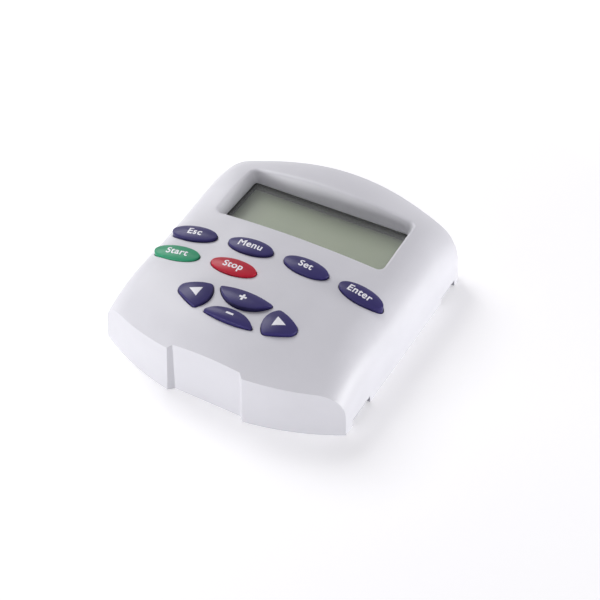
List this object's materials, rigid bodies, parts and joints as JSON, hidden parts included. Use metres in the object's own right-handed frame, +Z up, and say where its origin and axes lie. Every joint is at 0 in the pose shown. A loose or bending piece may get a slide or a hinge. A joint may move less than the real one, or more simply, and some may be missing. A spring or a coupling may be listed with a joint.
{
  "type": "control keypad",
  "caption": "Low arched control keypad and timer: sunken LCD window, domed rubber keys for start, stop and setting, curved front and back walls, snap-fit back with keyholes.",
  "frame": {"origin": "middle of the base, on the surface the keypad lies on", "axes": "+X to the right along the key rows, +Y from the keys towards the display, +Z up out of the face"},
  "size_m": [0.1018, 0.1121, 0.0279],
  "materials": {
    "housing_shell": "cool pale grey injection-moulded ABS, satin to fine matte",
    "cover_shell": "the housing's grey ABS, fine spark-eroded matte",
    "key_violet": "blue-violet silicone rubber, smooth satin",
    "key_green": "sea-green silicone rubber, smooth satin",
    "key_red": "crimson silicone rubber, smooth satin",
    "mat_rubber": "plain grey silicone rubber, matte",
    "contact_pill": "carbon-filled silicone, dull black",
    "window_clear": "clear acrylic window, polished",
    "gasket_foam": "black closed-cell foam",
    "bezel_black": "black-enamelled sheet steel",
    "lcd_grey_green": "grey-green reflective display glass, polished",
    "backlight_white": "milky light guide",
    "strip_rubber": "layered conductive silicone, matte",
    "board_green": "green solder-masked glass-epoxy laminate",
    "chip_black": "black moulded epoxy",
    "header_black": "black glass-filled nylon",
    "tinned_pins": "tin-plated brass",
    "gold_pads": "gold-flashed copper",
    "zinc_screws": "bright zinc-plated steel",
    "brass_standoff": "turned brass, bright",
    "socket_plastic": "dark grey glass-filled nylon",
    "crystal_can": "drawn nickel-silver can",
    "capacitor_sleeve": "dark blue shrink sleeve",
    "sounder_black": "black moulded plastic",
    "legend_white": "white screen-printed legend, satin"
  },
  "bodies": {
    "housing": {"front_housing": "housing_shell", "back_cover": "cover_shell", "window_lens": "window_clear", "window_gasket": "gasket_foam", "lcd_bezel": "bezel_black", "lcd_glass": "lcd_grey_green", "lcd_backlight": "backlight_white", "lcd_contact_strips": "strip_rubber", "lcd_board": "board_green", "lcd_driver_chips": "chip_black", "lcd_header": "header_black", "lcd_header_pins": "tinned_pins", "key_board": "board_green", "key_contacts": "gold_pads", "key_mat": "mat_rubber", "key_header": "header_black", "key_header_pins": "tinned_pins", "key_board_screws": "zinc_screws", "main_board": "board_green", "main_board_screws": "zinc_screws", "standoffs_rear": "brass_standoff", "standoffs_front": "brass_standoff", "socket_shell": "socket_plastic", "socket_pins": "tinned_pins", "controller_chip": "chip_black", "crystal": "crystal_can", "capacitors": "capacitor_sleeve", "sounder": "sounder_black", "voltage_regulator": "chip_black"},
    "esc_key": {"key_esc": "key_violet", "pill_esc": "contact_pill"},
    "menu_key": {"key_menu": "key_violet", "pill_menu": "contact_pill"},
    "set_key": {"key_set": "key_violet", "pill_set": "contact_pill"},
    "enter_key": {"key_enter": "key_violet", "pill_enter": "contact_pill"},
    "start_key": {"key_start": "key_green", "pill_start": "contact_pill"},
    "stop_key": {"key_stop": "key_red", "pill_stop": "contact_pill"},
    "left_key": {"key_left": "key_violet", "pill_left": "contact_pill"},
    "right_key": {"key_right": "key_violet", "pill_right": "contact_pill"},
    "plus_key": {"key_plus": "key_violet", "pill_plus": "contact_pill"},
    "minus_key": {"key_minus": "key_violet", "pill_minus": "contact_pill"}
  },
  "joints": [
    {"name": "esc_press", "type": "slide", "parent": "housing", "child": "esc_key", "axis": [0, 0, -1], "range_m": [0, 0.001], "stiffness_N_per_m": 800, "springref_m": -0.0005},
    {"name": "menu_press", "type": "slide", "parent": "housing", "child": "menu_key", "axis": [0, 0, -1], "range_m": [0, 0.001], "stiffness_N_per_m": 800, "springref_m": -0.0005},
    {"name": "set_press", "type": "slide", "parent": "housing", "child": "set_key", "axis": [0, 0, -1], "range_m": [0, 0.001], "stiffness_N_per_m": 800, "springref_m": -0.0005},
    {"name": "enter_press", "type": "slide", "parent": "housing", "child": "enter_key", "axis": [0, 0, -1], "range_m": [0, 0.001], "stiffness_N_per_m": 800, "springref_m": -0.0005},
    {"name": "start_press", "type": "slide", "parent": "housing", "child": "start_key", "axis": [0, 0, -1], "range_m": [0, 0.001], "stiffness_N_per_m": 800, "springref_m": -0.0005},
    {"name": "stop_press", "type": "slide", "parent": "housing", "child": "stop_key", "axis": [0, 0, -1], "range_m": [0, 0.001], "stiffness_N_per_m": 800, "springref_m": -0.0005},
    {"name": "left_press", "type": "slide", "parent": "housing", "child": "left_key", "axis": [0, 0, -1], "range_m": [0, 0.001], "stiffness_N_per_m": 800, "springref_m": -0.0005},
    {"name": "right_press", "type": "slide", "parent": "housing", "child": "right_key", "axis": [0, 0, -1], "range_m": [0, 0.001], "stiffness_N_per_m": 800, "springref_m": -0.0005},
    {"name": "plus_press", "type": "slide", "parent": "housing", "child": "plus_key", "axis": [0, 0, -1], "range_m": [0, 0.001], "stiffness_N_per_m": 800, "springref_m": -0.0005},
    {"name": "minus_press", "type": "slide", "parent": "housing", "child": "minus_key", "axis": [0, 0, -1], "range_m": [0, 0.001], "stiffness_N_per_m": 800, "springref_m": -0.0005}
  ]
}
